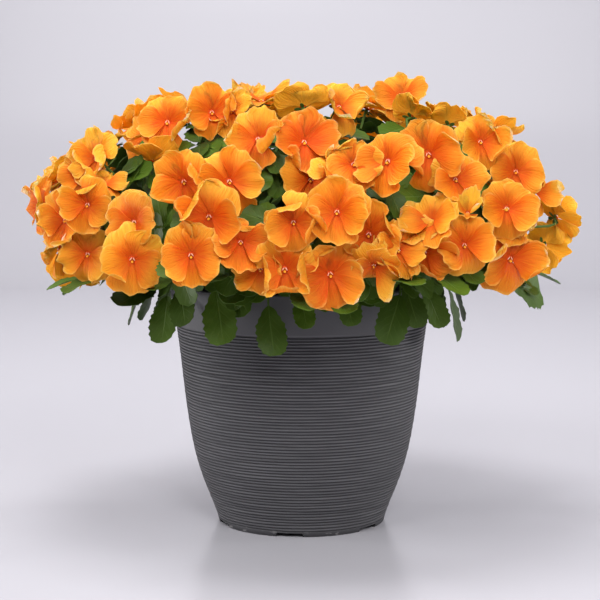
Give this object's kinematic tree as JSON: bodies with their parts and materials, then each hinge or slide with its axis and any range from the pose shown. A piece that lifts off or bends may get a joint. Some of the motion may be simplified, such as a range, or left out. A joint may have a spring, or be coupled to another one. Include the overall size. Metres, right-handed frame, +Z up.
{
  "type": "potted pansy planter",
  "caption": "Round ribbed plastic planter filled with potting mix, with leafy stems that lean over its rim and a wide dome of orange five-petalled pansy blooms.",
  "frame": {"origin": "under the middle of the whole planter's bounding box, on the ground plane, a few millimetres from the pot's own axis", "axes": "+Z up, and the side shown in the picture faces -Y"},
  "size_m": [0.611, 0.5994, 0.5066],
  "materials": {
    "pot_plastic": "charcoal moulded plastic, matt, with fine level ribs",
    "potting_mix": "damp dark peat and bark crumbs",
    "foliage": "dark green leaves and stems with a soft sheen",
    "petals": "velvety orange petals with paler golden rims"
  },
  "bodies": {
    "root": {"bloom_group_01": "petals", "bloom_group_02": "petals", "bloom_group_03": "petals", "bloom_group_04": "petals", "bloom_group_05": "petals", "bloom_group_06": "petals", "bloom_group_07": "petals", "bloom_group_08": "petals", "bloom_group_09": "petals", "bloom_group_10": "petals", "bloom_group_11": "petals", "bloom_group_12": "petals", "bloom_group_13": "petals", "bloom_group_14": "petals", "bloom_group_15": "petals", "bloom_group_16": "petals", "bloom_group_17": "petals", "bloom_group_18": "petals", "bloom_group_19": "petals", "bloom_group_20": "petals", "bloom_group_21": "petals", "bloom_group_22": "petals", "bloom_group_23": "petals", "bloom_group_24": "petals", "bloom_group_25": "petals", "bloom_group_26": "petals", "bloom_group_27": "petals", "bloom_group_28": "petals", "bloom_group_29": "petals", "bloom_group_30": "petals", "bloom_group_31": "petals", "bloom_group_32": "petals", "bloom_group_33": "petals", "bloom_group_34": "petals", "bloom_group_35": "petals", "bloom_group_36": "petals", "bloom_group_37": "petals", "bloom_group_38": "petals", "bloom_group_39": "petals", "bloom_group_40": "petals", "bloom_group_41": "petals", "leafy_stem_01": "foliage", "leafy_stem_02": "foliage", "leafy_stem_03": "foliage", "leafy_stem_04": "foliage", "leafy_stem_05": "foliage", "leafy_stem_06": "foliage", "leafy_stem_07": "foliage", "leafy_stem_08": "foliage", "leafy_stem_09": "foliage", "leafy_stem_10": "foliage", "leafy_stem_11": "foliage", "leafy_stem_12": "foliage", "planter_pot": "pot_plastic", "potting_mix": "potting_mix"}
  },
  "joints": []
}
